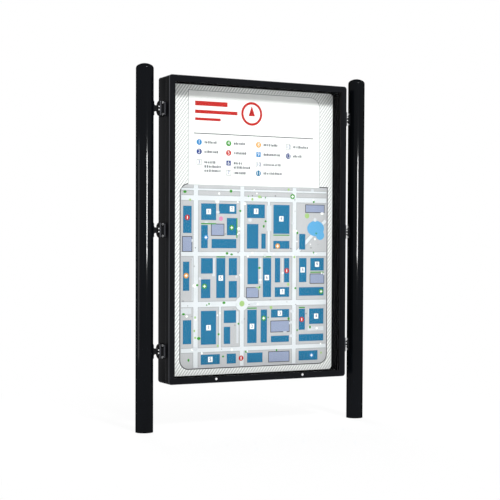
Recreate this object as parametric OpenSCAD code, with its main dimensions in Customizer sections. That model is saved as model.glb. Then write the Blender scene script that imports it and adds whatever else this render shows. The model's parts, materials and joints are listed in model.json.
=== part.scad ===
// Post-mounted information display case with a glazed, top-hinged door.
// Millimetres, +Z up, front towards -Y, origin on the ground midway between the two posts.

/* [Posts] */
// Outside diameter of a post
post_d = 90; // [70:1:110]
// Wall of a post tube
post_wall = 3; // [2:0.5:5]
// Height of a post tube above the top of the case
post_over = 28; // [25:1:600]
// Clear gap between a post and the side of the case
post_gap = 59; // [54:1:80]
// Height of the domed cap above the tube
cap_rise = 27; // [24:1:32]
// Radius of the cap's shoulder
cap_shoulder_r = 20; // [14:1:23]
// Length of the cap's spigot inside the tube
cap_spigot = 30; // [15:1:50]

/* [Case] */
// Overall width of the case
case_w = 1040; // [800:5:1400]
// Overall height of the case
case_h = 1565; // [1100:5:1590]
// Overall depth of the case, door and back sheet included
case_d = 140; // [130:1:170]
// Height of the case's underside above the ground
case_z = 240; // [150:5:245]
// Radius of the case's outer corners
corner_r = 16; // [8:1:20]
// Width of a body rail seen from the front
body_rail = 32; // [30:1:44]
// Radius of the body's inner corners
inner_r = 20; // [10:1:28]
// Wall of the body rails
body_wall = 3; // [2.5:0.5:4]
// Front wall of the body's top and bottom rails, which carry the hinge and stop the cams
front_wall = 5; // [4.5:0.5:7]
// Thickness of the back sheet
back_t = 2; // [1.5:0.5:4]
// Inset of the back sheet from the outside of the case
back_inset = 5; // [3:1:8]

/* [Display] */
// Distance from the front of the case to the face of the print
print_depth = 94; // [70:1:100]
// Thickness of the printed sheet
print_t = 1; // [0.5:0.5:3]
// Thickness of the board behind the print
board_t = 4; // [3:1:8]
// Width of the ledge that carries the board
ledge_w = 12; // [10:1:20]
// Thickness of the ledge
ledge_t = 3; // [2:0.5:5]

/* [Door] */
// Depth of the door frame
door_d = 41; // [34:1:46]
// Gap between the closed door and the body
door_gap = 3; // [2.8:0.1:4]
// Width of a door rail seen from the front
door_rail = 33; // [32:1:36]
// Width of the hollow part of a door rail
door_tube = 27; // [26:1:28]
// Wall of the door rails
door_wall = 3; // [2.5:0.5:4]
// Thickness of the glass
glass_t = 4; // [3:1:6]
// Thickness of each glazing gasket
gasket_t = 2; // [1:0.5:3]
// Distance of the locks from the middle of the case
lock_x = 254; // [150:1:330]
// Height of the locks above the underside of the case
lock_rise = 20; // [19:0.5:21]

/* [Hinge and struts] */
// Distance from the side of the case to the end of the piano hinge
hinge_end = 70; // [66:1:200]
// Number of knuckles on the hinge, an odd number
knuckles = 15; // [9:2:21]
// Radius of a knuckle
knuckle_r = 2.8; // [2.6:0.1:3]
// Radius of the hinge pin
pin_r = 1.2; // [1:0.1:1.4]
// Thickness of a hinge leaf
leaf_t = 1.2; // [0.8:0.1:1.2]
// Height of a hinge leaf below the pin
leaf_h = 26; // [22:1:27]
// Angle to which the door opens
open_angle = 80; // [60:1:82]
// Distance of a strut's door stud below the hinge pin
strut_arm = 110; // [95:1:120]
// Distance of a strut's body stud below the hinge pin
strut_drop = 420; // [400:5:480]
// Radius of a strut's cylinder
strut_r = 9; // [7:0.5:9]
// Radius of a strut's rod
rod_r = 4; // [3:0.5:5]

/* [Brackets] */
// Distance from an end of the case to the middle of its nearest bracket
bracket_end = 167.5; // [140:0.5:300]
// Thickness of the plate on the case
plate_t = 8; // [6:1:10]
// Height of the plate on the case
plate_h = 75; // [70:1:90]
// Depth of the plate on the case, front to back
plate_d = 70; // [66:1:80]
// Distance from the case to the outer face of the lug's flange
flange_out = 32; // [28:1:34]
// Thickness of the lug's flange
flange_t = 8; // [6:1:10]
// Radius of the lug's flange
flange_r = 38; // [34:1:42]
// Height of the lug's neck
neck_h = 28; // [22:1:32]
// Depth of the lug's neck, front to back
neck_d = 20; // [14:1:20]
// Height of the lug's foot against the post
foot_h = 72; // [68:1:90]
// Thickness of the foot
foot_t = 2.5; // [2:0.5:5]

/* [Hidden] */
$fn = 48;
e = 0.01;
fit = 0.3;          // clearance of sheets, cleats and strips in their seats
run = 0.05;         // radial running clearance of pins and plugs
hole_fit = 0.1;     // radial clearance of a screw in its hole
post_r = post_d / 2;
post_x = case_w / 2 + post_gap + post_r;
front_y = -case_d / 2;
back_y = case_d / 2;
door_back = front_y + door_d;
body_front = door_back + door_gap;
body_back = back_y - back_t;
case_top = case_z + case_h;
case_mid = case_z + case_h / 2;
post_h = case_top + post_over;
bracket_pitch = case_h / 2 - bracket_end;
hinge_len = case_w - 2 * hinge_end;
side_x = case_w / 2;
LEVELS = [-1, 0, 1];

// display
print_y = front_y + print_depth;
board_y = print_y + print_t;
ledge_y = board_y + board_t;
board_screw_r = 2;
board_head_r = 3.8;

// door glazing, front to back
lip_t = door_wall;
glass_y = front_y + lip_t + gasket_t;
bead_y = glass_y + glass_t + gasket_t;
bead_back = door_back - 2;
glass_inset = door_tube + 0.5;
mitre_gap = 0.1;

// corner cleats
body_cleat = 80;
door_cleat = 65;
cleat_t = 14;
cleat_back = 14;    // distance of the body's cleats from the rear wall

// hinge
axis_y = (door_back + body_front) / 2;
axis_z = case_top - knuckle_r - 0.6;
knuckle_gap = 0.3;
knuckle_room = 0.6;
rebate_low = axis_z - knuckle_r - 1;
leaf_screw_drop = 16;
leaf_screw_r = 2;
leaf_head_r = 3.2;
leaf_screws = 7;
leaf_screw_pitch = hinge_len * 0.15;

// locks
lock_z = case_z + lock_rise;
lock_r = 5.5;
lock_head_r = 6.5;
lock_head_t = 2.5;
plug_r = 4;
tail_r = 2.5;
slot_half = 9.5;
cam_len = slot_half + 6;
cam_w = 11;
cam_t = 2.5;
cam_room = 1;
cam_y = body_front + front_wall + cam_room;
lock_nut_af = 18;
lock_nut_t = door_gap - 0.6;

// struts
channel_mid = side_x - body_wall - 14.5;
stud_depth = 23;
stud_y = body_front + stud_depth;
stud_r = 4;
eye_half = 6.5;
eye_r = 8.5;
body_stud_z = axis_z - strut_drop;
door_stud_z = axis_z - strut_arm;
strut_len = strut_drop - strut_arm;
neck_len = 16;
rod_show = 18;
tube_len = strut_len - 2 * neck_len - rod_show;
tube_wall = 1.5;
gland_t = 10;
piston_t = 12;
piston_rest = 8;
ear_gap = 1.7;
ear_t = 3;
foot_half = 20;

// brackets
plate_front = body_front + 1;
plate_back = plate_front + plate_d;
plate_screw_z = plate_h / 2 - 8.5;
plate_screw_y = [plate_front + 9, plate_back - 9];
plate_screw_r = 4;
plate_head_r = 6.5;
plate_head_t = 5;
plate_nut_t = 5;
flange_mid_y = -12;
flange_front = plate_front + 1;
pad_half_h = 19;
pad_half_d = 22;
lug_bolt_y = 17;
lug_bolt_z = 8;
lug_bolt_r = 3;
lug_head_af = 10;
lug_head_t = 6;
foot_screw_z = foot_h / 2 - 8;
foot_screw_r = 3;
foot_head_r = 5;
foot_head_t = 4;
foot_socket = 4;
insert_r = 5;
insert_len = 14;
flare = foot_screw_z - foot_head_r - neck_h / 2;

// back sheet and seal
back_screw_r = 2;
back_screw_end = 6;  // length of a back screw past the body's rear wall
back_head_r = 4.5;
back_head_t = lock_head_t;
back_screws_x = 4;
back_screws_z = 6;
seal_in = 0.5;
seal_w = 4;

PLACES = ["left_lower", "left_middle", "left_upper", "right_lower", "right_middle", "right_upper"];

// ---- shared shapes ----

// Rectangle with round corners, centred
module round_rect(w, h, r) {
    if (r > 0) {
        square([w - 2 * r, h], center = true);
        square([w, h - 2 * r], center = true);
        for (sx = [-1, 1], sz = [-1, 1])
            translate([sx * (w / 2 - r), sz * (h / 2 - r)]) circle(r);
    } else square([w, h], center = true);
}

// Block of the case's outline, drawn in by inset, from y0 back to y1
module outline_block(inset, r, y0, y1) {
    translate([0, y1, case_mid]) rotate([90, 0, 0])
        linear_extrude(y1 - y0) round_rect(case_w - 2 * inset, case_h - 2 * inset, r);
}

// Frame-shaped solid between two insets, with its outer and inner corner radii
module outline_ring(outer, inner, r, y0, y1, hole_r = 0) {
    difference() {
        outline_block(outer, r, y0, y1);
        outline_block(inner, hole_r, y0 - 1, y1 + 1);
    }
}

// Wedge that keeps one side of a mitred frame
module mitre_wedge(side) {
    w = case_w / 2;
    h = case_h / 2;
    out = corner_r;
    in = 2 * body_rail + corner_r;
    corner = [[-w, h], [w, h], [w, -h], [-w, -h]];
    way = [[-1, 1], [1, 1], [1, -1], [-1, -1]];
    i = side == "top" ? 0 : side == "right" ? 1 : side == "bottom" ? 2 : 3;
    j = (i + 1) % 4;
    translate([0, back_y + out, case_mid]) rotate([90, 0, 0]) linear_extrude(case_d + 2 * out)
        polygon([corner[i] + out * way[i], corner[j] + out * way[j],
                 corner[j] - in * way[j], corner[i] - in * way[i]]);
}

// The four corner squares of a frame, in which its cleats lie
module corner_blocks(leg) {
    for (sx = [-1, 1], sz = [-1, 1])
        translate([sx * (case_w / 2 - leg / 2), 0, case_mid + sz * (case_h / 2 - leg / 2)])
            cube([leg, 2 * case_d, leg], center = true);
}

// Cylinder along +Y from y0 to y1
module rod_y(r, y0, y1) {
    translate([0, y0, 0]) rotate([-90, 0, 0]) cylinder(r = r, h = y1 - y0);
}

// Cylinder along +X from x0 to x1
module rod_x(r, x0, x1) {
    translate([x0, 0, 0]) rotate([0, 90, 0]) cylinder(r = r, h = x1 - x0);
}

// Hexagon along +X
module hex_x(af, x0, x1) {
    translate([x0, 0, 0]) rotate([0, 90, 0]) cylinder(d = af / cos(30), h = x1 - x0, $fn = 6);
}

// Cuts the groove in which the hinge knuckles turn
module hinge_groove(y0, y1) {
    translate([-case_w, y0, rebate_low]) cube([2 * case_w, y1 - y0, 2 * (case_top - rebate_low)]);
}

// ---- posts ----

module post(s) {
    color("#1b1c1e") translate([s * post_x, 0, 0]) difference() {
        cylinder(r = post_r, h = post_h, $fn = 96);
        translate([0, 0, -1]) cylinder(r = post_r - post_wall, h = post_h + 2, $fn = 96);
        for (level = LEVELS, sz = [-1, 1])
            translate([0, 0, case_mid + level * bracket_pitch + sz * foot_screw_z])
                rod_x(insert_r + hole_fit, s > 0 ? -post_r - 1 : 0, s > 0 ? 0 : post_r + 1);
    }
}

// Domed cap: a crown arc that runs into a shoulder arc
module post_cap(s) {
    shoulder_x = post_r - cap_shoulder_r;
    crown_r = (pow(shoulder_x, 2) + pow(cap_rise, 2) - pow(cap_shoulder_r, 2))
        / (2 * (cap_rise - cap_shoulder_r));
    meet_x = shoulder_x * crown_r / (crown_r - cap_shoulder_r);
    spigot_r = post_r - post_wall - hole_fit;
    color("#1b1c1e") translate([s * post_x, 0, post_h]) {
        rotate_extrude($fn = 96) {
            intersection() {
                translate([0, cap_rise - crown_r]) circle(crown_r, $fn = 96);
                square([meet_x, cap_rise]);
            }
            intersection() {
                translate([shoulder_x, 0]) circle(cap_shoulder_r);
                square([post_r, cap_rise]);
            }
        }
        translate([0, 0, -cap_spigot]) difference() {
            cylinder(r = spigot_r, h = cap_spigot + e, $fn = 96);
            translate([0, 0, -e]) cylinder(r = spigot_r - 3, h = cap_spigot, $fn = 96);
        }
    }
}

// ---- brackets, drawn on the right of the case and mirrored for the left ----

module at_bracket(s, level) {
    mirror([s > 0 ? 0 : 1, 0, 0]) translate([side_x, 0, case_mid + level * bracket_pitch]) children();
}

// Post lug: foot, neck, round flange cut straight in front, and a pad on the case plate
module bracket_lug(s, level) {
    post_at = post_gap + post_r;
    color("#1d1e20") at_bracket(s, level) difference() {
        union() {
            intersection() {
                translate([flange_out - flange_t, flange_mid_y, 0]) rod_x(flange_r, 0, flange_t);
                translate([0, flange_front, -flange_r]) cube([flange_out, 2 * flange_r, 2 * flange_r]);
            }
            translate([plate_t, -pad_half_d, -pad_half_h])
                cube([flange_out - flange_t - plate_t + e, 2 * pad_half_d, 2 * pad_half_h]);
            translate([flange_out - e, -neck_d / 2, -neck_h / 2])
                cube([post_gap - flange_out + post_r / 3, neck_d, neck_h]);
            // foot, hollowed to the post below
            translate([post_gap - foot_t, -neck_d / 2, -foot_h / 2])
                cube([foot_t + post_r / 3, neck_d, foot_h]);
            // fillets from the neck to the foot and to the flange
            for (sz = [-1, 1]) {
                neck_fillet(post_gap - foot_t, -1, sz);
                neck_fillet(flange_out, 1, sz);
            }
        }
        translate([post_at, 0, -foot_h]) cylinder(r = post_r, h = 2 * foot_h, $fn = 96);
        for (sy = [-1, 1], sz = [-1, 1])
            translate([0, sy * lug_bolt_y, sz * lug_bolt_z]) rod_x(lug_bolt_r + hole_fit, 0, flange_out + 1);
        for (sz = [-1, 1])
            translate([0, 0, sz * foot_screw_z])
                rod_x(foot_screw_r + hole_fit, post_gap - foot_t - 5, post_gap + 5);
    }
}

// Concave fillet above (sz = 1) or below (sz = -1) the neck, growing towards the face at x
module neck_fillet(x, way, sz) {
    translate([x, 0, sz * neck_h / 2]) mirror([way > 0 ? 0 : 1, 0, 0]) mirror([0, 0, sz > 0 ? 0 : 1])
        difference() {
            translate([-1, -neck_d / 2, -1]) cube([flare + 1, neck_d, flare + 1]);
            translate([flare, 0, flare]) rod_y(flare, -neck_d, neck_d);
        }
}

module bracket_plate(s, level) {
    color("#222326") at_bracket(s, level) difference() {
        translate([0, (plate_front + plate_back) / 2, 0]) rotate([0, 90, 0])
            linear_extrude(plate_t) round_rect(plate_h, plate_back - plate_front, 6);
        for (y = plate_screw_y, sz = [-1, 1])
            translate([0, y, sz * plate_screw_z]) rod_x(plate_screw_r + hole_fit, -1, plate_t + 1);
        for (sy = [-1, 1], sz = [-1, 1])
            translate([0, sy * lug_bolt_y, sz * lug_bolt_z]) rod_x(lug_bolt_r + hole_fit, 1, plate_t + 1);
    }
}

module lug_bolts() {
    color("silver") for (s = [-1, 1], level = LEVELS) at_bracket(s, level)
        for (sy = [-1, 1], sz = [-1, 1]) translate([0, sy * lug_bolt_y, sz * lug_bolt_z]) {
            rod_x(lug_bolt_r, 1.5, flange_out + e);
            hex_x(lug_head_af, flange_out, flange_out + lug_head_t);
        }
}

module plate_screws() {
    color("silver") for (s = [-1, 1], level = LEVELS) at_bracket(s, level)
        for (y = plate_screw_y, sz = [-1, 1]) translate([0, y, sz * plate_screw_z]) difference() {
            union() {
                rod_x(plate_screw_r, -body_wall - plate_nut_t, plate_t + e);
                rod_x(plate_head_r, plate_t, plate_t + plate_head_t);
            }
            hex_x(5, plate_t + plate_head_t - 3, plate_t + plate_head_t + 1);
        }
}

module plate_nuts() {
    color("gray") for (s = [-1, 1], level = LEVELS) at_bracket(s, level)
        for (y = plate_screw_y, sz = [-1, 1]) translate([0, y, sz * plate_screw_z]) difference() {
            hex_x(13, -body_wall - plate_nut_t, -body_wall);
            rod_x(plate_screw_r + hole_fit, -body_wall - plate_nut_t - 1, -body_wall + 1);
        }
}

module foot_screws() {
    color("silver") for (s = [-1, 1], level = LEVELS) at_bracket(s, level)
        for (sz = [-1, 1]) translate([0, 0, sz * foot_screw_z]) difference() {
            union() {
                rod_x(foot_screw_r, post_gap - foot_t - e, post_gap + insert_len);
                rod_x(foot_head_r, post_gap - foot_t - foot_head_t, post_gap - foot_t);
            }
            hex_x(foot_socket, post_gap - foot_t - foot_head_t - 1, post_gap - foot_t - foot_head_t + 2.5);
        }
}

module post_inserts() {
    color("gray") for (s = [-1, 1], level = LEVELS) at_bracket(s, level)
        for (sz = [-1, 1]) translate([0, 0, sz * foot_screw_z]) difference() {
            union() {
                rod_x(insert_r, post_gap + 1, post_gap + insert_len);
                rod_x(insert_r + 2, post_gap + post_wall + 1.5, post_gap + post_wall + 5);
            }
            rod_x(foot_screw_r + hole_fit, post_gap, post_gap + insert_len + 1);
        }
}

// ---- case body ----

module plate_screw_holes() {
    for (s = [-1, 1], level = LEVELS) at_bracket(s, level)
        for (y = plate_screw_y, sz = [-1, 1]) translate([0, y, sz * plate_screw_z])
            rod_x(plate_screw_r + hole_fit, -body_wall - 1, 1);
}

// One mitred side of the body: an outer wall, an inner wall, a rear wall and the board's ledge.
// The stiles are open in front, so that the struts lie in them.
module body_side(side) {
    closed = side == "top" || side == "bottom";
    hollow_y = closed ? body_front + front_wall : body_front - 1;
    color("#1b1c1e") intersection() {
        mitre_wedge(side);
        difference() {
            union() {
                outline_ring(0, body_rail, corner_r, body_front, body_back, inner_r);
                outline_ring(body_rail - 1, body_rail + ledge_w, 0, ledge_y, ledge_y + ledge_t);
            }
            outline_ring(body_wall, body_rail - body_wall, corner_r - body_wall, hollow_y,
                         body_back - body_wall);
            hinge_groove(body_front - 1, axis_y + knuckle_r + knuckle_room + 1.1);
            if (closed) leaf_screw_places(body_front - 1, body_front + front_wall + 1, hole_fit);
            if (side == "bottom") lock_slots();
            if (!closed) plate_screw_holes();
            board_screw_places() rod_y(board_screw_r + hole_fit, ledge_y - 1, ledge_y + ledge_t + 1);
            back_screw_places() rod_y(back_screw_r + hole_fit, body_back - body_wall - 1, back_y + 1);
        }
    }
}

module body_cleats() {
    color("silver") intersection() {
        corner_blocks(body_cleat);
        outline_ring(body_wall + fit, body_rail - body_wall - fit, corner_r - body_wall,
                     body_back - body_wall - cleat_back - cleat_t,
                     body_back - body_wall - cleat_back);
    }
}

module lock_slots() {
    for (s = [-1, 1]) translate([s * lock_x, 0, lock_z])
        translate([-cam_len - 2, body_front - 1, -slot_half])
            cube([cam_len + 2 + slot_half, front_wall + 2, 2 * slot_half]);
}

module board_screw_places() {
    x = case_w / 2 - body_rail - ledge_w / 2;
    z = case_h / 2 - body_rail - ledge_w / 2;
    for (s = [-1, 1]) {
        for (k = [-2 : 2]) translate([s * x, 0, case_mid + k * z * 0.45]) children();
        for (k = [-1 : 1]) translate([k * x * 0.7, 0, case_mid + s * z]) children();
    }
}

module display_board() {
    gap = body_rail + fit;
    color("white") difference() {
        outline_block(gap, inner_r - fit, board_y, board_y + board_t);
        board_screw_places() {
            rod_y(board_screw_r + hole_fit, board_y - 1, board_y + board_t + 1);
            rod_y(board_head_r + hole_fit, board_y - 1, board_y + 2);
        }
    }
}

module board_screws() {
    color("silver") board_screw_places() {
        rod_y(board_screw_r, board_y, ledge_y + ledge_t + 4);
        rod_y(board_head_r, board_y, board_y + 2);
    }
}

module print_sheet() {
    color("whitesmoke") outline_block(body_rail + fit, inner_r - fit, print_y, print_y + print_t);
}

module back_screw_places() {
    x = case_w / 2 - body_rail / 2;
    z = case_h / 2 - body_rail / 2;
    for (s = [-1, 1]) {
        for (k = [0 : back_screws_z - 1])
            translate([s * x, 0, case_mid + (2 * k / (back_screws_z - 1) - 1) * z * 0.93]) children();
        for (k = [0 : back_screws_x - 1])
            translate([(2 * k / (back_screws_x - 1) - 1) * x * 0.8, 0, case_mid + s * z]) children();
    }
}

module back_sheet() {
    color("#1b1c1e") difference() {
        outline_block(back_inset, corner_r - back_inset, body_back, back_y);
        back_screw_places() rod_y(back_screw_r + hole_fit, body_back - 1, back_y + 1);
    }
}

module back_screws() {
    color("silver") back_screw_places() {
        rod_y(back_screw_r, body_back - body_wall - back_screw_end, back_y + e);
        rod_y(back_head_r, back_y, back_y + back_head_t);
    }
}

// Strip on the front edge of the body, down both sides and along the bottom
module door_seal() {
    color("#101010") difference() {
        outline_ring(seal_in, seal_in + seal_w, corner_r - seal_in, door_back + fit, body_front);
        translate([-case_w, front_y, axis_z - leaf_h - 4]) cube([2 * case_w, case_d, case_h]);
    }
}

// ---- hinge ----

module leaf_screw_places(y0, y1, clear) {
    for (k = [0 : leaf_screws - 1])
        translate([(k - (leaf_screws - 1) / 2) * leaf_screw_pitch, 0, axis_z - leaf_screw_drop])
            rod_y(leaf_screw_r + clear, y0, y1);
}

// Leaf with every second knuckle: first is 0 for the body's leaf and 1 for the door's
module hinge_leaf(first, y0) {
    seg = hinge_len / knuckles;
    flush = first == 0 ? y0 : y0 + leaf_t;
    color("silver") difference() {
        union() {
            translate([-hinge_len / 2, y0, axis_z - leaf_h])
                cube([hinge_len, leaf_t, leaf_h - knuckle_r - 0.5]);
            for (k = [first : 2 : knuckles - 1]) translate([-hinge_len / 2 + k * seg, 0, axis_z]) {
                translate([knuckle_gap / 2, y0, -leaf_h]) cube([seg - knuckle_gap, leaf_t, leaf_h]);
                translate([0, axis_y, 0]) rod_x(knuckle_r, knuckle_gap / 2, seg - knuckle_gap / 2);
            }
        }
        translate([0, axis_y, axis_z]) rod_x(pin_r + run, -hinge_len, hinge_len);
        leaf_screw_places(y0 - 1, y0 + leaf_t + 1, hole_fit);
        leaf_heads(first, flush, hole_fit);
    }
}

// Countersunk heads, flush with a leaf's free face
module leaf_heads(first, flush, clear) {
    for (k = [0 : leaf_screws - 1])
        translate([(k - (leaf_screws - 1) / 2) * leaf_screw_pitch, flush, axis_z - leaf_screw_drop])
            rotate([first == 0 ? -90 : 90, 0, 0])
                cylinder(r1 = leaf_head_r + clear, r2 = leaf_screw_r + clear, h = leaf_t);
}

module hinge_leaf_body() { hinge_leaf(0, body_front - leaf_t); }
module hinge_leaf_door() { hinge_leaf(1, door_back); }

module hinge_pin() {
    color("silver") translate([0, axis_y, axis_z]) rod_x(pin_r, -hinge_len / 2, hinge_len / 2);
}

module hinge_screws_body() {
    color("silver") {
        leaf_screw_places(body_front - leaf_t + e, body_front + front_wall + 3, 0);
        leaf_heads(0, body_front - leaf_t, 0);
    }
}

module hinge_screws_door() {
    color("silver") {
        leaf_screw_places(door_back - door_wall - 5, door_back + leaf_t - e, 0);
        leaf_heads(1, door_back + leaf_t, 0);
    }
}

// ---- door ----

// One mitred side of the door: a hollow tube and a lip in front of the glass
module door_side(side) {
    color("#1b1c1e") intersection() {
        mitre_wedge(side);
        difference() {
            outline_block(0, corner_r, front_y, door_back);
            outline_block(door_rail, 0, front_y - 1, door_back + 1);
            outline_block(door_tube, 0, front_y + lip_t, door_back + 1);
            outline_ring(door_wall, door_tube - door_wall, corner_r - door_wall,
                         front_y + door_wall, door_back - door_wall);
            hinge_groove(axis_y - knuckle_r - knuckle_room, door_back + 1);
            if (side == "top") leaf_screw_places(door_back - door_wall - 1, door_back + 1, hole_fit);
            if (side == "bottom") for (s = [-1, 1])
                translate([s * lock_x, 0, lock_z]) rod_y(lock_r + hole_fit, front_y - 1, door_back + 1);
        }
    }
}

module door_cleats() {
    color("silver") intersection() {
        corner_blocks(door_cleat);
        outline_ring(door_wall + fit, door_tube - door_wall - fit, corner_r - door_wall,
                     front_y + door_wall + fit, door_back - door_wall - fit);
    }
}

module door_glass() {
    color("lightblue", 0.3) outline_block(glass_inset, 0, glass_y, glass_y + glass_t);
}

module glazing_gaskets() {
    color("#101010") {
        outline_ring(glass_inset, door_rail, 0, front_y + lip_t, glass_y);
        outline_ring(glass_inset, door_rail, 0, glass_y + glass_t, bead_y);
    }
}

// Four mitred beads behind the glass, drawn apart by mitre_gap at the corners
module glazing_beads() {
    away = [["top", [0, 0, 1]], ["bottom", [0, 0, -1]], ["left", [-1, 0, 0]], ["right", [1, 0, 0]]];
    color("#1b1c1e") for (side = away) intersection() {
        translate(mitre_gap * side[1]) mitre_wedge(side[0]);
        outline_ring(door_tube + fit, door_rail, 0, bead_y, bead_back);
    }
}

// ---- locks ----

module at_lock(s) {
    translate([s * lock_x, 0, lock_z]) children();
}

module lock_body(s) {
    color("silver") at_lock(s) difference() {
        union() {
            rod_y(lock_r, front_y - e, cam_y - 0.4);
            translate([0, front_y, 0]) rotate([90, 0, 0]) {
                cylinder(r = lock_head_r, h = lock_head_t - 1);
                translate([0, 0, lock_head_t - 1])
                    cylinder(r1 = lock_head_r, r2 = lock_head_r - 1, h = 1);
            }
        }
        rod_y(plug_r + run, front_y - lock_head_t - 1, cam_y + 1);
    }
}

module lock_plug(s) {
    color("gainsboro") at_lock(s) difference() {
        union() {
            rod_y(plug_r, front_y - lock_head_t + 0.4, cam_y - 0.2);
            rod_y(tail_r, cam_y - 0.3, cam_y + cam_t + 2);
        }
        translate([-0.6, front_y - lock_head_t, -2.6]) cube([1.2, 5, 5.2]);
    }
}

// Cam, lying along the door's rail when unlocked
module lock_cam(s) {
    color("silver") at_lock(s) translate([0, cam_y - 0.2, 0]) difference() {
        union() {
            rod_y(cam_w / 2, 0, cam_t);
            translate([-cam_len, 0, -cam_w / 2]) cube([cam_len, cam_t, cam_w]);
        }
        rod_y(tail_r, -1, cam_t + 1);
    }
}

module lock_nuts() {
    color("gray") for (s = [-1, 1]) at_lock(s) difference() {
        translate([0, door_back, 0]) rotate([-90, 0, 0])
            cylinder(d = lock_nut_af / cos(30), h = lock_nut_t, $fn = 6);
        rod_y(lock_r + hole_fit, door_back - 1, door_back + lock_nut_t + 1);
    }
}

// ---- struts, drawn on the right and mirrored for the left ----

module at_strut(s, z) {
    mirror([s > 0 ? 0 : 1, 0, 0]) translate([channel_mid, stud_y, z]) children();
}

module strut_cylinder(s) {
    color("#26272a") at_strut(s, body_stud_z) difference() {
        union() {
            rod_x(eye_r, -eye_half, eye_half);
            cylinder(r = 5, h = neck_len + e);
            translate([0, 0, neck_len]) cylinder(r = strut_r, h = tube_len);
        }
        rod_x(stud_r + run, -eye_half - 1, eye_half + 1);
        translate([0, 0, neck_len + 4]) cylinder(r = strut_r - tube_wall, h = tube_len - 4 - gland_t);
        translate([0, 0, neck_len + 4]) cylinder(r = rod_r + run, h = tube_len);
    }
}

module strut_rod(s) {
    piston_z = neck_len + 4 + piston_rest;
    color("silver") at_strut(s, body_stud_z) {
        translate([0, 0, piston_z]) cylinder(r = strut_r - tube_wall - run, h = piston_t);
        translate([0, 0, piston_z]) cylinder(r = rod_r, h = strut_len - neck_len - piston_z + e);
        translate([0, 0, strut_len - neck_len]) cylinder(r = 5, h = neck_len - stud_r - 1);
        translate([0, 0, strut_len]) difference() {
            rod_x(eye_half, -eye_half, eye_half);
            rod_x(stud_r + run, -eye_half - 1, eye_half + 1);
        }
    }
}

// Studs on the stiles' outer walls, on which the cylinders turn
module strut_studs() {
    wall_x = side_x - body_wall - channel_mid;
    color("silver") for (s = [-1, 1]) at_strut(s, body_stud_z) {
        rod_x(stud_r, -eye_half - 2.2, wall_x);
        rod_x(10, eye_half + 0.5, wall_x);
        rod_x(stud_r + 1.5, -eye_half - 2.2, -eye_half - 0.4);
    }
}

// Angle pieces on the back of the door, each with a stud whose end stands beside the rod's eye
module strut_ears() {
    ear_x = eye_half + ear_gap;
    color("#26272a") for (s = [-1, 1]) at_strut(s, door_stud_z) {
        translate([-eye_r, door_back - stud_y, -foot_half])
            cube([ear_x + ear_t + eye_r, 3, 2 * foot_half]);
        translate([ear_x, door_back - stud_y, -eye_r]) cube([ear_t, stud_y - door_back, 2 * eye_r]);
        rod_x(eye_r, ear_x, ear_x + ear_t);
        rod_x(stud_r, eye_half + 0.4, ear_x + e);
    }
}

post(-1);  // post_left
post(1);  // post_right
post_cap(-1);  // post_cap_left
post_cap(1);  // post_cap_right
for (i = [0 : len(PLACES) - 1]) {
    bracket_lug(i < 3 ? -1 : 1, LEVELS[i % 3]);
    bracket_plate(i < 3 ? -1 : 1, LEVELS[i % 3]);
}
lug_bolts();
plate_screws();
plate_nuts();
foot_screws();
post_inserts();
body_side("top");  // body_rail_top
body_side("bottom");  // body_rail_bottom
body_side("left");  // body_stile_left
body_side("right");  // body_stile_right
body_cleats();
back_sheet();
back_screws();
display_board();
board_screws();
print_sheet();
door_seal();
hinge_leaf_body();
hinge_leaf_door();
hinge_pin();
hinge_screws_body();
hinge_screws_door();
door_side("top");  // door_rail_top
door_side("bottom");  // door_rail_bottom
door_side("left");  // door_stile_left
door_side("right");  // door_stile_right
door_cleats();
door_glass();
glazing_gaskets();
glazing_beads();
lock_body(-1);  // lock_body_left
lock_body(1);  // lock_body_right
lock_plug(-1);  // lock_plug_left
lock_plug(1);  // lock_plug_right
lock_cam(-1);  // lock_cam_left
lock_cam(1);  // lock_cam_right
lock_nuts();
strut_cylinder(-1);  // strut_cylinder_left
strut_cylinder(1);  // strut_cylinder_right
strut_rod(-1);  // strut_rod_left
strut_rod(1);  // strut_rod_right
strut_studs();
strut_ears();
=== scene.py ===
import json
import math
import random

import bmesh
import bpy
from mathutils import Matrix, Vector


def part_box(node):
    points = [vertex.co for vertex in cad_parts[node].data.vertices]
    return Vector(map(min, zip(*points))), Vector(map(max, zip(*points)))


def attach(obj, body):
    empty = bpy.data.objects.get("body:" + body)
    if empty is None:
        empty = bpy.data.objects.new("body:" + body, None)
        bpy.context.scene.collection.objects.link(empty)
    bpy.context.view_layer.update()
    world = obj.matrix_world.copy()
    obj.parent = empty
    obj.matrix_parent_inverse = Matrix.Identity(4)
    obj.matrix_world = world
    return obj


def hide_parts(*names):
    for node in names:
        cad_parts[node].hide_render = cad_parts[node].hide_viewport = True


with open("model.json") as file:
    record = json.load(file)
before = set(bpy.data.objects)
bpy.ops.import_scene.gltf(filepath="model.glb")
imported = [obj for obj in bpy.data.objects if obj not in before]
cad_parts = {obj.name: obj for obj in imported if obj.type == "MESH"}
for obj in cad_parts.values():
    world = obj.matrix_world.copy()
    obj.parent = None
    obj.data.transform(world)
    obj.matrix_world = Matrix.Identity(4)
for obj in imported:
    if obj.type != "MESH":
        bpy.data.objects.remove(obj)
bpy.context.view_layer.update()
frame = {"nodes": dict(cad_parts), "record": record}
nodes = frame["nodes"]
print("frame loaded,", len(nodes), "nodes")


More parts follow.
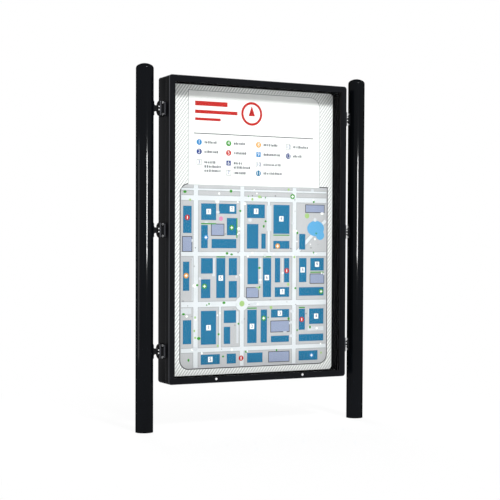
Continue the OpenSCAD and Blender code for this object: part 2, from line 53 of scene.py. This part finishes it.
class Wire:
    # wraps a socket so that its maths reads as plain expressions
    def __init__(self, paint, socket):
        self.paint, self.socket = paint, socket

    def maths(self, operation, a, b):
        return self.paint.add("ShaderNodeMath", {"operation": operation}, {0: a, 1: b})

    def __add__(self, other):
        return self.maths("ADD", self, other)

    def __radd__(self, other):
        return self.maths("ADD", other, self)

    def __mul__(self, other):
        return self.maths("MULTIPLY", self, other)

    def __rmul__(self, other):
        return self.maths("MULTIPLY", other, self)

    def __mod__(self, other):
        return self.maths("FLOORED_MODULO", self, other)

    def __rmod__(self, other):
        return self.maths("FLOORED_MODULO", other, self)

    def __lt__(self, other):
        return self.maths("LESS_THAN", self, other)

    def __gt__(self, other):
        return self.maths("GREATER_THAN", self, other)


class Paint:
    # one material: add() makes a node, surface() the shader that shows
    def __init__(self, name, world=None):
        self.mat = world or bpy.data.materials.new(name)
        self.mat.use_nodes = True
        self.tree = self.mat.node_tree
        self.tree.nodes.clear()
        self.output = self.tree.nodes.new("ShaderNodeOutputWorld" if world else "ShaderNodeOutputMaterial")

    def add(self, kind, settings=None, inputs=None, out=0):
        made = self.tree.nodes.new(kind)
        for key, value in (settings or {}).items():
            setattr(made, key, value)
        for key, value in (inputs or {}).items():
            if isinstance(value, Wire):
                self.tree.links.new(value.socket, made.inputs[key])
            else:
                made.inputs[key].default_value = value
        return Wire(self, made.outputs[out])

    def place(self, scale=(1, 1, 1), turn=(0, 0, 0)):
        at = self.add("ShaderNodeTexCoord", out="Object")
        return self.add("ShaderNodeMapping", inputs={"Vector": at, "Scale": scale, "Rotation": turn})

    def noise(self, size, detail=3.0, rough=0.5, stretch=(1, 1, 1)):
        # size is that of one patch, in metres
        return self.add("ShaderNodeTexNoise", inputs={
            "Vector": self.place(stretch), "Scale": 1 / size, "Detail": detail, "Roughness": rough})

    def fade(self, value, low, high, toLow, toHigh):
        return self.add("ShaderNodeMapRange", inputs={
            "Value": value, "From Min": low, "From Max": high, "To Min": toLow, "To Max": toHigh})

    def blend(self, factor, a, b):
        return self.add("ShaderNodeMix", {"data_type": "RGBA"}, {0: factor, 6: a, 7: b}, out=2)

    def bump(self, height, strength, distance):
        return self.add("ShaderNodeBump", inputs={"Height": height, "Strength": strength, "Distance": distance})

    def surface(self, **sockets):
        self.show(self.add("ShaderNodeBsdfPrincipled", inputs={
            key.replace("_", " "): value for key, value in sockets.items()}))

    def show(self, shader):
        self.tree.links.new(shader.socket, self.output.inputs["Surface"])

    def seenBy(self, *rays):
        # above 0 for any of these kinds of ray, 0 for all others
        found = [self.add("ShaderNodeLightPath", out=ray) for ray in rays]
        return sum(found[1:], found[0])


def colour(r, g, b):
    # 0-255 values as seen on a screen, to the linear ones that a shader takes
    def linear(v):
        return v / 12.92 if v < 0.04045 else ((v + 0.055) / 1.055) ** 2.4
    return tuple(linear(v / 255) for v in (r, g, b)) + (1,)


def paintedMetal(name, base, dust, rough, shine, rimShine, peel=0.15):
    # matt colour under a thin glossy coat, with another weight where the surface turns away
    p = Paint(name)
    cloud = p.noise(0.35, 4)
    speck = p.noise(0.009, 5, 0.65)
    turned = p.add("ShaderNodeLayerWeight", inputs={"Blend": 0.5}, out="Facing")
    p.surface(
        Base_Color=p.blend(p.fade(cloud, 0.35, 0.7, 0, 1), base, dust),
        Roughness=p.fade(cloud * 0.6 + speck * 0.4, 0.3, 0.7, rough - 0.05, rough + 0.07),
        Specular_IOR_Level=0.0,
        Coat_Weight=p.fade(turned, 0.3, 0.62, shine, rimShine), Coat_Roughness=0.07,
        Normal=p.bump(p.noise(0.0028, 2), peel, 0.0001))
    return p.mat


postPaint = paintedMetal("postPaint", colour(7, 9, 12), colour(11, 13, 17), 0.4, 0.12, 0.0)
casePaint = paintedMetal("casePaint", colour(18, 19, 22), colour(23, 24, 27), 0.45, 0.06, 0.09)
# painted highlight: a paler paint on the rounded outer rims of door and body and on the brackets' front edges
# and faces, for the light those edges catch
paintedEdgeHighlight = paintedMetal("paintedEdgeHighlight", colour(72, 73, 77), colour(60, 61, 65), 0.5, 0.12, 0.12)
# painted shade: the inside faces of the body rails and the glazing beads are made darker than the case paint,
# for the shade that falls inside the case
paintedInnerShade = paintedMetal("paintedInnerShade", colour(7, 7, 8), colour(11, 11, 12), 0.7, 0.0, 0.0)
castPaint = paintedMetal("castPaint", colour(18, 19, 21), colour(26, 27, 29), 0.5, 0.1, 0.05, 0.5)
strutPaint = paintedMetal("strutPaint", colour(26, 26, 28), colour(34, 34, 36), 0.4, 0.4, 0.4)


def brightMetal(name, base, dark, rough, stretch, size=0.004):
    p = Paint(name)
    brushed = p.noise(size, 4, 0.6, stretch)
    stain = p.noise(0.02, 3)
    p.surface(
        Base_Color=p.blend(p.fade(stain, 0.35, 0.75, 0, 1), base, dark),
        Metallic=1.0,
        Roughness=p.fade(brushed, 0.3, 0.7, rough - 0.06, rough + 0.08),
        Normal=p.bump(brushed, 0.15, 0.00005))
    return p.mat


lockChrome = brightMetal("lockChrome", colour(246, 247, 248), colour(232, 233, 235), 0.12, (1, 1, 1))
screwSteel = brightMetal("screwSteel", colour(214, 215, 217), colour(180, 181, 184), 0.26, (1, 1, 1), 0.0015)
hingeSteel = brightMetal("hingeSteel", colour(186, 187, 190), colour(158, 159, 163), 0.32, (0.03, 1, 1))
rodChrome = brightMetal("rodChrome", colour(222, 223, 226), colour(206, 207, 210), 0.1, (1, 1, 0.05))
millAluminium = brightMetal("millAluminium", colour(198, 200, 203), colour(176, 178, 182), 0.38, (1, 1, 0.05))


def softRubber():
    p = Paint("sealRubber")
    bloom = p.noise(0.03, 4)
    p.surface(
        Base_Color=p.blend(p.fade(bloom, 0.4, 0.75, 0, 1), colour(20, 20, 21), colour(31, 31, 32)),
        Roughness=p.fade(bloom, 0.3, 0.7, 0.62, 0.78),
        Specular_IOR_Level=0.3,
        Normal=p.bump(p.noise(0.0012, 2), 0.3, 0.0001))
    return p.mat


# low-reflection glass, with faint smears in its tint
pane = {"clean": (0.985, 0.995, 0.99, 1), "smeared": (0.965, 0.975, 0.972, 1),
        "passing": (0.97, 0.98, 0.975, 1), "ior": 1.12}


def clearGlass():
    p = Paint("paneGlass")
    smear = p.fade(p.noise(0.25, 5, 0.6), 0.5, 0.8, 0, 1)
    sheet = p.add("ShaderNodeBsdfPrincipled", inputs={
        "Base Color": p.blend(smear, pane["clean"], pane["smeared"]),
        "Transmission Weight": 1.0, "IOR": pane["ior"], "Roughness": 0.0})
    # light on its way to and from the print passes straight through
    straight = p.seenBy("Is Shadow Ray", "Is Diffuse Ray")
    through = p.add("ShaderNodeBsdfTransparent", inputs={"Color": pane["passing"]})
    p.show(p.add("ShaderNodeMixShader", inputs={0: straight, 1: sheet, 2: through}))
    return p.mat


def boardWhite():
    p = Paint("boardWhite")
    tone = p.noise(0.18, 3)
    p.surface(
        Base_Color=p.blend(tone, colour(233, 233, 231), colour(226, 226, 225)),
        Roughness=0.6, Normal=p.bump(p.noise(0.002, 2), 0.2, 0.0001))
    return p.mat


# pitch in metres, line as a share of it, lean in degrees; start keeps the count of lines above 0
hatch = {"pitch": 0.0133, "line": 0.42, "lean": -36, "start": 400.0,
         "ink": colour(205, 206, 206), "paper": colour(253, 253, 252)}


def hatchedPaper():
    # white sheet with thin slanting grey lines, as on the border of the print
    p = Paint("printPaper")
    at = p.place(turn=(0, math.radians(hatch["lean"]), 0))
    across = p.add("ShaderNodeSeparateXYZ", inputs={0: at}, out="X")
    line = (across * (1 / hatch["pitch"]) + hatch["start"]) % 1.0 < hatch["line"]
    fibre = p.noise(0.0015, 3)
    p.surface(
        Base_Color=p.blend(line, hatch["paper"], hatch["ink"]),
        Roughness=p.fade(fibre, 0.3, 0.7, 0.42, 0.55), Specular_IOR_Level=0.12,
        Normal=p.bump(fibre, 0.1, 0.00005))
    return p.mat


paper = hatchedPaper()
board = boardWhite()
rubber = softRubber()
glass = clearGlass()

finishOf = [
    (("post_cap_", "post_left", "post_right"), postPaint),
    (("bracket_", "strut_ears"), castPaint),
    (("lug_bolts",), lockChrome),
    (("plate_screws", "plate_nuts", "foot_screws", "post_inserts", "back_screws",
      "board_screws", "strut_studs", "lock_nuts"), screwSteel),
    (("hinge_",), hingeSteel),
    (("body_cleats", "door_cleats"), millAluminium),
    (("display_board",), board),
    (("print_sheet",), paper),
    (("door_seal", "glazing_gaskets"), rubber),
    (("door_glass",), glass),
    # the glazing beads take the inner paint, painted shade for their place inside the case
    (("glazing_beads",), paintedInnerShade),
    (("lock_",), lockChrome),
    (("strut_cylinder",), strutPaint),
    (("strut_rod",), rodChrome),
]


def finishFor(name):
    for starts, mat in finishOf:
        if name.startswith(starts):
            return mat
    return casePaint


for name, obj in nodes.items():
    obj.data.materials.clear()
    obj.data.materials.append(finishFor(name))
print("materials on the CAD nodes")


# softened edges on the painted pieces
bodyOf = {node: body for body, held in frame["record"]["behaviour"]["bodies"].items() for node in held}


def finishPiece(bm, name, mat, body, smooth=None):
    mesh = bpy.data.meshes.new(name)
    if smooth is not None:
        for face in bm.faces:
            face.smooth = True
        for edge in bm.edges:
            edge.smooth = len(edge.link_faces) == 2 and edge.calc_face_angle() < math.radians(smooth)
    bm.to_mesh(mesh)
    bm.free()
    obj = bpy.data.objects.new(name, mesh)
    bpy.context.scene.collection.objects.link(obj)
    mesh.materials.append(mat)
    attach(obj, body)
    return obj


# distances in metres, angles in degrees, and shares of a face's normal
limits = {"weld": 2e-6, "edge": 1e-5, "face": 1e-4, "flat": 0.5, "sharp": 30, "smooth": 35,
          "facing": 0.9, "inward": 0.3}


def soften(node, width=0, segments=1, pick=None, edge=None, inside=None, front=None):
    # merged, smooth copy of a CAD node: the picked edges are rounded and take the edge paint, a painted
    # highlight, if given, as do faces on the plane at front; faces turned to inside take the inner paint, which
    # is painted shade
    bm = bmesh.new()
    bm.from_mesh(nodes[node].data)
    bmesh.ops.remove_doubles(bm, verts=bm.verts, dist=limits["weld"])
    bmesh.ops.dissolve_limit(bm, angle_limit=math.radians(limits["flat"]), verts=bm.verts, edges=bm.edges)
    sharp = math.radians(limits["sharp"])
    edges = [e for e in bm.edges
             if pick and len(e.link_faces) == 2 and e.calc_face_angle(0) > sharp and pick(e)]
    if edges:
        bmesh.ops.bevel(bm, geom=edges, offset=width, offset_type="OFFSET", affect="EDGES",
                        segments=segments, profile=0.5, material=1 if edge else -1, clamp_overlap=True)
    if front is not None:
        for face in bm.faces:
            if face.normal.y < -limits["facing"] and abs(face.calc_center_median().y - front) < limits["face"]:
                face.material_index = 1
    if inside:
        for face in bm.faces:
            if face.normal.dot(inside) > limits["inward"] and face.material_index == 0:
                face.material_index = 2
    piece = finishPiece(bm, node + "_soft", finishFor(node), bodyOf[node], limits["smooth"])
    piece.data.materials.append(edge or finishFor(node))
    if inside:
        piece.data.materials.append(paintedInnerShade)
    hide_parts(node)


# rounding of each kind of rim, and how far within the outline a rim's edge may lie
rim = {"door": 0.0028, "body": 0.0032, "bracket": 0.0026, "within": 0.006}
caseLo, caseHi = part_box("door_rail_bottom")[0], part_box("door_rail_top")[1]


def rimAt(y):
    # outline edges of the case at one depth, without the mitres that run inwards
    def pick(e):
        if any(abs(v.co.y - y) > limits["edge"] for v in e.verts):
            return False
        inward = [min(v.co.x - caseLo.x, caseHi.x - v.co.x, v.co.z - caseLo.z, caseHi.z - v.co.z)
                  for v in e.verts]
        return abs(inward[0] - inward[1]) < rim["within"] and min(inward) < rim["within"]
    return pick


def frontOf(node):
    # edges on the foremost plane of a piece
    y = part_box(node)[0].y
    return lambda e: all(abs(v.co.y - y) < limits["edge"] for v in e.verts)


# the outer rims of door and body take the edge paint, a painted highlight; the body rails' inward faces take the
# inner paint, painted shade
inwards = {"rail_top": (0, 0, -1), "rail_bottom": (0, 0, 1), "stile_left": (1, 0, 0), "stile_right": (-1, 0, 0)}
for side, way in inwards.items():
    soften("door_" + side, rim["door"], 4, rimAt(caseLo.y), paintedEdgeHighlight)
    # the hinge is on the body's top rail, so that one keeps its edges
    outline = None if side == "rail_top" else rimAt(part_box("body_stile_left")[0].y)
    soften("body_" + side, rim["body"], 3, outline, paintedEdgeHighlight, Vector(way))
# the brackets' front edges and front faces take the edge paint, a painted highlight
for place in ("left_lower", "left_middle", "left_upper", "right_lower", "right_middle", "right_upper"):
    for part in ("bracket_lug_", "bracket_plate_"):
        node = part + place
        soften(node, rim["bracket"], 2, frontOf(node), paintedEdgeHighlight, front=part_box(node)[0].y)
for node in ("post_left", "post_right", "post_cap_left", "post_cap_right"):
    soften(node)
print("rims, brackets and posts softened")

# printed sheet: a made-up site plan and its legend
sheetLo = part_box("print_sheet")[0]
inkStep = 0.00016      # thickness of one printed layer
inks = {
    "outline": colour(62, 64, 66), "thinLine": colour(150, 152, 154), "cardWhite": colour(254, 254, 253),
    "land": colour(194, 194, 197), "kerb": colour(156, 158, 162), "road": colour(224, 227, 231),
    "yard": colour(214, 217, 222), "block": colour(38, 114, 154), "annex": colour(152, 162, 190),
    "lake": colour(100, 172, 220), "grass": colour(66, 150, 52), "lawn": colour(166, 200, 128),
    "stopRed": colour(190, 42, 38), "amber": colour(228, 158, 50), "sky": colour(44, 132, 194),
    "navy": colour(28, 52, 122), "blossom": colour(218, 140, 178), "wordGrey": colour(118, 120, 124),
    "ruleGrey": colour(96, 98, 100),
}
sheets = {name: bmesh.new() for name in inks}


def spot(x, z, layer):
    return Matrix.Translation((x / 1000, sheetLo.y - (layer + 0.5) * inkStep, z / 1000))


def bar(ink, x0, z0, x1, z1, layer, turn=0, rounds=None):
    # rectangle between two corners in millimetres; rounds gives a radius for each named corner
    bm = sheets[ink]
    place = spot((x0 + x1) / 2, (z0 + z1) / 2, layer) @ Matrix.Rotation(math.radians(turn), 4, "Y")
    made = bmesh.ops.create_cube(bm, size=1, matrix=place @ Matrix.Diagonal(
        (abs(x1 - x0) / 1000, inkStep, abs(z1 - z0) / 1000, 1)))
    for corner, radius in (rounds or {}).items():
        cx = (x1 if "R" in corner else x0) / 1000
        cz = (z1 if "T" in corner else z0) / 1000
        edges = {e for v in made["verts"] if v.is_valid for e in v.link_edges
                 if all(abs(w.co.x - cx) < 1e-6 and abs(w.co.z - cz) < 1e-6 for w in e.verts)}
        bmesh.ops.bevel(bm, geom=list(edges), offset=radius / 1000, offset_type="OFFSET",
                        affect="EDGES", segments=10, profile=0.5, material=-1)


def patch(ink, x, z, wide, high, layer):
    # rectangle round a point, by half its sizes
    bar(ink, x - wide, z - high, x + wide, z + high, layer)


def disc(ink, x, z, radius, layer, wide=1.0, sides=28):
    place = spot(x, z, layer) @ Matrix.Rotation(math.pi / 2, 4, "X")
    bmesh.ops.create_cone(sheets[ink], cap_ends=True, segments=sides, radius1=radius / 1000,
                          radius2=radius / 1000, depth=inkStep, matrix=place @ Matrix.Diagonal((wide, 1, 1, 1)))


def stroke(ink, x0, z0, x1, z1, width, layer):
    long = math.hypot(x1 - x0, z1 - z0)
    cx, cz = (x0 + x1) / 2, (z0 + z1) / 2
    turn = -math.degrees(math.atan2(z1 - z0, x1 - x0))
    bar(ink, cx - long / 2, cz - width / 2, cx + long / 2, cz + width / 2, layer, turn)


figureHeight = 700      # in millimetres, of a figure at a text size of 1


def numeral(text, ink, x, z, height, layer):
    curve = bpy.data.curves.new("numeral", "FONT")
    curve.body, curve.size = text, height / figureHeight
    curve.align_x = curve.align_y = "CENTER"
    curve.resolution_u = 3
    curve.extrude = inkStep / 2
    shape = bpy.data.objects.new("numeral", curve)
    flat = bpy.data.meshes.new_from_object(shape)
    flat.transform(spot(x, z, layer) @ Matrix.Rotation(math.pi / 2, 4, "X"))
    sheets[ink].from_mesh(flat)
    bpy.data.objects.remove(shape)
    bpy.data.curves.remove(curve)
    bpy.data.meshes.remove(flat)


draws = random.Random(3)
word = {"wide": (4.5, 9.5), "drop": (0, 0, 1.5, 2.5), "gap": (1.8, 1.8, 4.0), "least": 3}


def smallPrint(ink, x, z, length, height, layer):
    # a line of short blocks that reads as small print from a step away
    end = x + length
    while x < end - word["least"]:
        wide = min(draws.uniform(*word["wide"]), end - x)
        low = draws.choice(word["drop"])
        bar(ink, x, z - height, x + wide, z - low, layer)
        x += wide + draws.choice(word["gap"])


# card with the legend; it and the plan are in millimetres
card = {"x": (-372, 405), "z": (1261, 1744), "corner": 58, "edge": 2.6, "rule": (-342, 364, 1525)}
(cx0, cx1), (cz0, cz1) = card["x"], card["z"]
edge = card["edge"]
bar("thinLine", cx0 - edge, cz0, cx1 + edge, cz1 + edge, 0, rounds={"TR": card["corner"] + edge})
bar("cardWhite", cx0, cz0, cx1, cz1, 1, rounds={"TR": card["corner"]})
ruleStart, ruleEnd, ruleHeight = card["rule"]
stroke("ruleGrey", ruleStart, ruleHeight, ruleEnd, ruleHeight, 5, 2)

# plain heading: bars on the left, a north arrow in a ring beside them
heading = [(-336, 1668, -150, 1692), (-336, 1628, -92, 1646), (-336, 1592, -190, 1606)]
ring = {"x": -8, "z": 1640, "outside": 62, "inside": 49, "arrow": 36, "raised": 6, "hub": 9}
for x0, z0, x1, z1 in heading:
    bar("stopRed", x0, z0, x1, z1, 2)
disc("stopRed", ring["x"], ring["z"], ring["outside"], 2, sides=48)
disc("cardWhite", ring["x"], ring["z"], ring["inside"], 3, sides=48)
disc("stopRed", ring["x"], ring["z"] + ring["raised"], ring["arrow"], 4, wide=0.6, sides=3)
disc("stopRed", ring["x"], ring["z"], ring["hub"], 4)

legend = [
    (-312, 1480, "sky", 1, (72,)), (-312, 1431, "navy", 2, (78,)), (-312, 1377, "annex", 3, (66, 96, 92)),
    (-143, 1480, "grass", 4, (70,)), (-143, 1430, "stopRed", 5, (76,)), (-143, 1377, "navy", 6, (54, 100)),
    (-143, 1326, "annex", 7, (74,)), (33, 1479, "amber", 8, (88,)), (33, 1428, "sky", 9, (100,)),
    (33, 1375, "annex", 10, (104,)), (33, 1329, "block", 11, (110,)), (212, 1475, "annex", 12, (92,)),
    (212, 1426, "navy", 13, (52,)),
]
icon = {"frame": 14, "inside": 12.2, "disc": 15, "square": 13, "number": 19}
caption = {"right": 30, "up": 7, "pitch": 22, "height": 13}
for x, z, ink, number, words in legend:
    if ink == "annex":
        patch("ruleGrey", x, z, icon["frame"], icon["frame"], 2)
        patch("cardWhite", x, z, icon["inside"], icon["inside"], 3)
    elif number % 3:
        disc(ink, x, z, icon["disc"], 2)
    else:
        patch(ink, x, z, icon["square"], icon["square"], 2)
    numeral(str(number), "navy" if ink == "annex" else "cardWhite", x, z, icon["number"], 4)
    for row, length in enumerate(words):
        top = z + caption["up"] - caption["pitch"] * row
        smallPrint("wordGrey", x + caption["right"], top, length, caption["height"], 2)

plan = {"x": (-416, 454), "z": (308, 1261), "corner": 46, "edge": 5.0, "annexEdge": 3.5, "kerb": 5}
(px0, px1), (pz0, pz1) = plan["x"], plan["z"]
edge = plan["edge"]
rounds = {"BL": plan["corner"], "BR": plan["corner"], "TL": plan["corner"]}
wider = {corner: radius + edge for corner, radius in rounds.items()}
bar("outline", px0 - edge, pz0 - edge, px1 + edge, pz1 + edge, 0, rounds=wider)
bar("land", px0, pz0, px1, pz1, 1, rounds=rounds)

roads = [
    (-330, 312, -330, 1257, 26), (-62, 312, -62, 1257, 24), (252, 312, 252, 1257, 24),
    (-412, 1192, 450, 1192, 26), (-412, 902, 450, 902, 22), (-412, 640, 450, 640, 28), (-412, 402, 450, 402, 22),
    (262, 905, 446, 1084, 20), (-412, 1236, 450, 1236, 10), (-190, 640, -190, 402, 12), (96, 1192, 96, 902, 14),
]
lift = 0.04      # of a layer, from one road to the next, so that crossing roads never share a plane
for i, (x0, z0, x1, z1, width) in enumerate(roads):
    stroke("kerb", x0, z0, x1, z1, width + plan["kerb"], 2 + i * lift)
    stroke("road", x0, z0, x1, z1, width, 3 + i * lift)
roundabout = {"x": -62, "z": 640, "kerb": 41, "road": 38, "lawn": 15}
disc("kerb", roundabout["x"], roundabout["z"], roundabout["kerb"], 2.5, sides=40)
disc("road", roundabout["x"], roundabout["z"], roundabout["road"], 3.5, sides=40)
disc("lawn", roundabout["x"], roundabout["z"], roundabout["lawn"], 4)

blocks = [
    (-300, 1078, -214, 1164), (-198, 1112, -96, 1164), (-300, 932, -262, 1052), (-240, 932, -96, 980),
    (-152, 1000, -96, 1090), (-34, 1092, 72, 1164), (124, 1010, 222, 1164), (-34, 930, 34, 1060),
    (52, 930, 78, 1010), (124, 930, 222, 972), (282, 926, 320, 1010), (-300, 800, -232, 880),
    (-212, 672, -160, 880), (-140, 672, -92, 760), (-300, 672, -246, 770), (-140, 790, -92, 880),
    (-30, 742, 34, 880), (62, 672, 112, 880), (134, 672, 222, 724), (134, 750, 166, 880), (190, 750, 222, 880),
    (282, 676, 436, 722), (282, 750, 328, 880), (352, 812, 436, 880), (-300, 430, -212, 606),
    (-168, 540, -96, 606), (-168, 430, -130, 520), (-30, 430, 26, 606), (50, 430, 88, 606),
    (112, 562, 222, 606), (112, 430, 222, 464), (282, 430, 436, 468), (282, 492, 320, 606),
    (346, 522, 436, 606), (-300, 326, -190, 378), (-150, 326, -96, 378), (-30, 326, 62, 378),
    (282, 326, 400, 378), (-402, 1010, -354, 1150), (-402, 712, -366, 862), (-402, 436, -354, 560),
]
for x0, z0, x1, z1 in blocks:
    bar("block", x0, z0, x1, z1, 4)
annexes = [
    (-404, 916, -354, 990), (112, 486, 222, 542), (352, 744, 436, 792), (-34, 672, 34, 722),
    (-240, 1000, -170, 1056), (100, 326, 222, 378), (322, 1128, 436, 1166),
]
edge = plan["annexEdge"]
for x0, z0, x1, z1 in annexes:
    bar("outline", x0 - edge, z0 - edge, x1 + edge, z1 + edge, 4)
    bar("annex", x0, z0, x1, z1, 5)
yards = [
    (84, 1024, 112, 1160), (340, 560, 344, 606), (-94, 432, -82, 600), (338, 486, 436, 508),
    (-236, 786, -220, 880), (42, 742, 54, 880), (-352, 660, -346, 880), (-412, 592, -356, 622),
    (-280, 1060, -262, 1070), (176, 750, 182, 880),
]
for x0, z0, x1, z1 in yards:
    bar("yard", x0, z0, x1, z1, 3.6)
disc("lake", 384, 1040, 42, 4, 1.25, 40)
disc("lake", 412, 1004, 26, 4.2, 1.0, 32)
disc("lawn", 330, 1108, 14, 4)
disc("blossom", -186, 1086, 12, 4)
hedges = [
    (-300, 1056, -214, 1062), (-30, 612, 26, 618), (282, 610, 320, 616), (62, 884, 112, 889),
    (124, 1000, 222, 1005), (-212, 884, -160, 889), (352, 800, 436, 806), (-96, 986, -90, 1090),
]
for x0, z0, x1, z1 in hedges:
    bar("grass", x0, z0, x1, z1, 4.3)
numbered = [
    (-257, 1122), (-122, 1138), (20, 1128), (172, 1090), (-186, 776), (86, 776), (180, 700),
    (304, 816), (394, 846), (-256, 518), (-2, 518), (166, 584), (390, 564), (-245, 352),
]
label = {"wide": 13, "high": 14, "number": 18}
for i, (x, z) in enumerate(numbered):
    patch("cardWhite", x, z, label["wide"], label["high"], 5)
    numeral(str(i % 9 + 1), "navy", x, z, label["number"], 6)
signs = {
    "stopRed": ((-378, 1090), (-66, 352), (300, 548), (206, 812)),
    "grass": ((-280, 734), (68, 560), (420, 698), (-124, 1040), (240, 1210)),
    "amber": ((-384, 790), (150, 944)), "sky": ((-272, 988), (362, 352)),
}
sign = {"disc": 14, "arm": 8, "thick": 2.5}
for ink, places in signs.items():
    for x, z in places:
        disc(ink, x, z, sign["disc"], 5)
        patch("cardWhite", x, z, sign["thick"], sign["arm"], 6)
        if ink != "stopRed":
            patch("cardWhite", x, z, sign["arm"], sign["thick"], 6.2)

# trees and small marks in the open ground, the same on every run
trees = {"count": 230, "inset": 12, "clear": 6, "size": (0.7, 1.2), "wide": (0.7, 1.5),
         "layer": 4.4, "lift": 0.002}
kinds = (("grass", 5), ("grass", 7), ("lawn", 8), ("cardWhite", 5), ("cardWhite", 8),
         ("kerb", 4), ("outline", 2.4), ("yard", 9))
scatter = random.Random(7)
inset, clear = trees["inset"], trees["clear"]
for mark in range(trees["count"]):
    x, z = scatter.uniform(px0 + inset, px1 - inset), scatter.uniform(pz0 + inset, pz1 - inset)
    if any(x0 - clear < x < x1 + clear and z0 - clear < z < z1 + clear for x0, z0, x1, z1 in blocks):
        continue
    ink, size = scatter.choice(kinds)
    radius = size * scatter.uniform(*trees["size"])
    disc(ink, x, z, radius, trees["layer"] + trees["lift"] * mark, scatter.uniform(*trees["wide"]), 10)

for name, bm in sheets.items():
    ink = Paint("ink" + name[0].upper() + name[1:])
    tone = ink.noise(0.05, 3)
    faded = tuple(v * 0.96 for v in inks[name][:3]) + (1,)
    ink.surface(
        Base_Color=ink.blend(ink.fade(tone, 0.35, 0.65, 0, 1), inks[name], faded),
        Roughness=ink.fade(tone, 0.3, 0.7, 0.4, 0.5), Specular_IOR_Level=0.12)
    finishPiece(bm, "print_" + name, ink.mat, bodyOf["print_sheet"])
print("plan and legend printed")

# stage: from near to far the floor goes from least white to full white, for rays that look at it
stage = {"floor": 9.0, "near": 0.9, "far": 1.9, "least": 0.9, "dim": 0.42,
         "floorColour": colour(242, 242, 242), "white": (1, 1, 1, 1)}
viewRays = ("Is Camera Ray", "Is Glossy Ray", "Is Transmission Ray")
bm = bmesh.new()
bmesh.ops.create_circle(bm, cap_ends=True, segments=64, radius=stage["floor"])
floorMesh = bpy.data.meshes.new("floor")
bm.to_mesh(floorMesh)
bm.free()
floor = bpy.data.objects.new("floor", floorMesh)
bpy.context.scene.collection.objects.link(floor)
p = Paint("floorPaper")
away = p.add("ShaderNodeVectorMath", {"operation": "LENGTH"}, {0: p.place()}, out="Value")
matt = p.add("ShaderNodeBsdfDiffuse", inputs={"Color": stage["floorColour"]})
glow = p.add("ShaderNodeEmission", inputs={"Color": stage["white"], "Strength": 1.0})
fading = p.fade(away, stage["near"], stage["far"], stage["least"], 1)
p.show(p.add("ShaderNodeMixShader", inputs={0: fading * p.seenBy(*viewRays), 1: matt, 2: glow}))
floorMesh.materials.append(p.mat)

world = bpy.data.worlds.new("studio")
bpy.context.scene.world = world
sky = Paint("sky", world)
dim = sky.add("ShaderNodeBackground", inputs={"Color": stage["white"], "Strength": stage["dim"]})
bright = sky.add("ShaderNodeBackground", inputs={"Color": stage["white"], "Strength": 1.0})
sky.show(sky.add("ShaderNodeMixShader", inputs={0: sky.seenBy(*viewRays), 1: dim, 2: bright}))


def lamp(name, place, target, wide, high, watts, onto=()):
    # with onto, only those pieces reflect it and nothing is lit by it
    light = bpy.data.lights.new(name, "AREA")
    light.shape, light.size, light.size_y, light.energy = "RECTANGLE", wide, high, watts
    obj = bpy.data.objects.new(name, light)
    bpy.context.scene.collection.objects.link(obj)
    obj.location = place
    obj.rotation_mode = "QUATERNION"
    obj.rotation_quaternion = (Vector(target) - Vector(place)).to_track_quat("-Z", "Y")
    obj.visible_camera = False
    if onto:
        obj.visible_diffuse = False
        seen = bpy.data.collections.new(name + "Onto")
        for piece in onto:
            seen.objects.link(bpy.data.objects[piece])
        obj.light_linking.receiver_collection = seen


lamps = {
    "keyLamp": {"place": (0.0, -9.6, 8.2), "target": (0, 0, 1.0), "wide": 2.0, "high": 2.0, "watts": 1200},
    "stripBox": {"place": (0.23, -5.04, 1.3), "target": (0.0, 0, 1.3), "wide": 0.75, "high": 1.0,
                 "watts": 640, "onto": ("post_left_soft", "post_right_soft")},
    "leftBox": {"place": (-4.05, 0.73, 0.9), "target": (-0.6, 0, 0.9), "wide": 1.3, "high": 1.7, "watts": 48},
    "backBox": {"place": (1.2, 5.5, 3.6), "target": (0, 0, 1.0), "wide": 2.4, "high": 2.4, "watts": 320},
}
for name, settings in lamps.items():
    lamp(name, **settings)
print("stage and lamps set")

# the camera found from the photograph's edges: metres, degrees and pixels, and the sensor in millimetres
shot = {"place": (-2.95243, -5.7465, 0.94937), "yaw": -26.9849, "pitch": -1.5747, "roll": -0.234,
        "focal": 1224.53, "centre": 278.64, "frame": 500, "sensor": 36}
cameraData = bpy.data.cameras.new("camera")
cameraData.sensor_width = shot["sensor"]
cameraData.lens = shot["focal"] / shot["frame"] * shot["sensor"]
cameraData.shift_y = (shot["centre"] - shot["frame"] / 2) / shot["frame"]
cameraData.clip_start, cameraData.clip_end = 0.1, 60
camera = bpy.data.objects.new("camera", cameraData)
bpy.context.scene.collection.objects.link(camera)
turn = (Matrix.Rotation(math.radians(shot["yaw"]), 3, "Z") @ Matrix.Rotation(math.radians(shot["pitch"]), 3, "X")
        @ Matrix.Rotation(math.radians(shot["roll"]), 3, "Y"))
camera.matrix_world = Matrix.Translation(shot["place"]) @ (turn @ Matrix.Rotation(math.pi / 2, 3, "X")).to_4x4()
bpy.context.scene.camera = camera
bpy.context.scene.view_settings.view_transform = "Standard"

print("scene ready")
